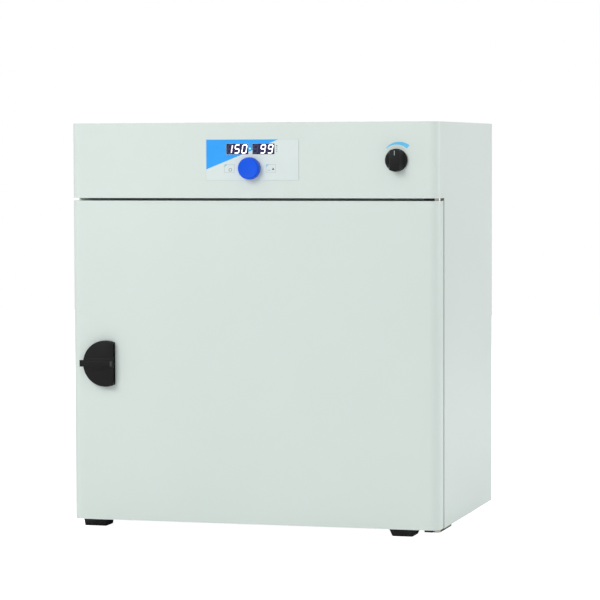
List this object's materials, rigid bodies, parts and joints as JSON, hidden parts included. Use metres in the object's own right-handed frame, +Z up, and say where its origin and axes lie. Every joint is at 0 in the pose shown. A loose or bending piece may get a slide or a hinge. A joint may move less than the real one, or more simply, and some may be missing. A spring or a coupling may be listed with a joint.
{
  "type": "hot air sterilizer",
  "caption": "Bench-top hot air sterilizer: insulated steel cabinet with a side-hinged door, pull handle, wire shelves, fan, heater, control fascia and exhaust damper.",
  "frame": {"origin": "on the floor plane under the feet, below the middle of the whole machine", "axes": "+Z up, the door faces -Y, +X to the right as seen from the front"},
  "size_m": [0.636, 0.48, 0.686],
  "materials": {
    "cabinet_paint": "smooth semi-gloss enamel, off-white",
    "zinc_sheet": "zinc-plated sheet, matt",
    "stainless": "brushed stainless steel",
    "shelf_wire": "bright plated wire",
    "turned_steel": "turned steel, bright",
    "hinge_paint": "black enamel",
    "heater_sheath": "oxidised sheath, matt",
    "wool": "mineral wool felt",
    "seal_rubber": "silicone rubber, matt",
    "foot_plastic": "moulded foot, matt",
    "black_plastic": "black moulding, satin",
    "blue_plastic": "blue moulding, satin",
    "overlay": "printed foil, satin",
    "display_lens": "dark tinted lens, glossy",
    "board": "solder-masked board",
    "heatsink": "bare extrusion",
    "bearing_plastic": "self-lubricating moulding",
    "magnet_steel": "sintered magnet with steel poles"
  },
  "bodies": {
    "case": {"side_panel_left": "cabinet_paint", "side_panel_right": "cabinet_paint", "top_cover": "cabinet_paint", "base_plate": "cabinet_paint", "front_frame": "cabinet_paint", "rear_panel": "zinc_sheet", "case_screws": "turned_steel", "feet": "foot_plastic", "fascia": "cabinet_paint", "membrane": "overlay", "display_modules": "display_lens", "control_board": "board", "encoder_body": "black_plastic", "chamber_shell": "stainless", "chamber_rear_wall": "stainless", "air_baffle": "stainless", "insulation_left": "wool", "insulation_right": "wool", "insulation_top": "wool", "insulation_bottom": "wool", "insulation_rear": "wool", "shelf_rack_left": "stainless", "shelf_rack_right": "stainless", "fan_motor": "zinc_sheet", "heater_element": "heater_sheath", "temperature_probe": "turned_steel", "electronics_tray": "zinc_sheet", "power_board": "board", "heater_relay": "heatsink", "exhaust_duct": "zinc_sheet", "exhaust_pipe": "stainless", "damper_bush": "bearing_plastic", "hinge_bracket_bottom": "hinge_paint", "hinge_bracket_top": "hinge_paint", "hinge_pins": "turned_steel", "latch_magnet": "magnet_steel", "mains_inlet": "black_plastic", "switch_body": "black_plastic"},
    "door": {"door_skin": "cabinet_paint", "door_inner_panel": "stainless", "door_wool": "wool", "door_seal": "seal_rubber", "hinge_bushes": "bearing_plastic", "handle_cup": "black_plastic", "handle_pin": "turned_steel"},
    "handle": {"handle_paddle": "black_plastic", "latch_armature": "turned_steel"},
    "encoder_button": {"encoder_plunger": "blue_plastic"},
    "encoder_dial": {"encoder_shaft": "turned_steel", "encoder_knob": "blue_plastic"},
    "damper": {"damper_knob": "black_plastic", "damper_rod": "turned_steel", "damper_disc": "stainless"},
    "fan": {"fan_impeller": "stainless", "fan_shaft": "turned_steel"},
    "mains_switch": {"mains_rocker": "black_plastic"},
    "lower_shelf": {"shelf_lower": "shelf_wire"},
    "upper_shelf": {"shelf_upper": "shelf_wire"}
  },
  "joints": [
    {"name": "door_hinge", "type": "hinge", "parent": "case", "child": "door", "pos_m": [0.311, -0.208, 0.286], "axis": [0, 0, 1], "range_deg": [0, 160]},
    {"name": "handle_pivot", "type": "hinge", "parent": "door", "child": "handle", "pos_m": [-0.284, -0.2295, 0.2815], "axis": [0, 0, -1], "range_deg": [0, 20], "stiffness_Nm_per_rad": 0.3, "springref_deg": -20.05},
    {"name": "encoder_push", "type": "slide", "parent": "case", "child": "encoder_button", "axis": [0, 1, 0], "range_m": [0, 0.0008], "stiffness_N_per_m": 3000, "springref_m": -0.0008},
    {"name": "encoder_turn", "type": "hinge", "parent": "encoder_button", "child": "encoder_dial", "pos_m": [-0.0025, -0.23, 0.6098], "axis": [0, -1, 0], "continuous": true},
    {"name": "damper_turn", "type": "hinge", "parent": "case", "child": "damper", "pos_m": [0.247, -0.23, 0.6228], "axis": [0, -1, 0], "range_deg": [-42, 42]},
    {"name": "fan_spin", "type": "hinge", "parent": "case", "child": "fan", "pos_m": [0, 0.11, 0.286], "axis": [0, -1, 0], "continuous": true},
    {"name": "mains_rock", "type": "hinge", "parent": "case", "child": "mains_switch", "pos_m": [-0.19, 0.212, 0.622], "axis": [-1, 0, 0], "range_deg": [0, 22]},
    {"name": "lower_shelf_slide", "type": "slide", "parent": "case", "child": "lower_shelf", "axis": [0, -1, 0], "range_m": [0, 0.012]},
    {"name": "upper_shelf_slide", "type": "slide", "parent": "case", "child": "upper_shelf", "axis": [0, -1, 0], "range_m": [0, 0.012]}
  ]
}
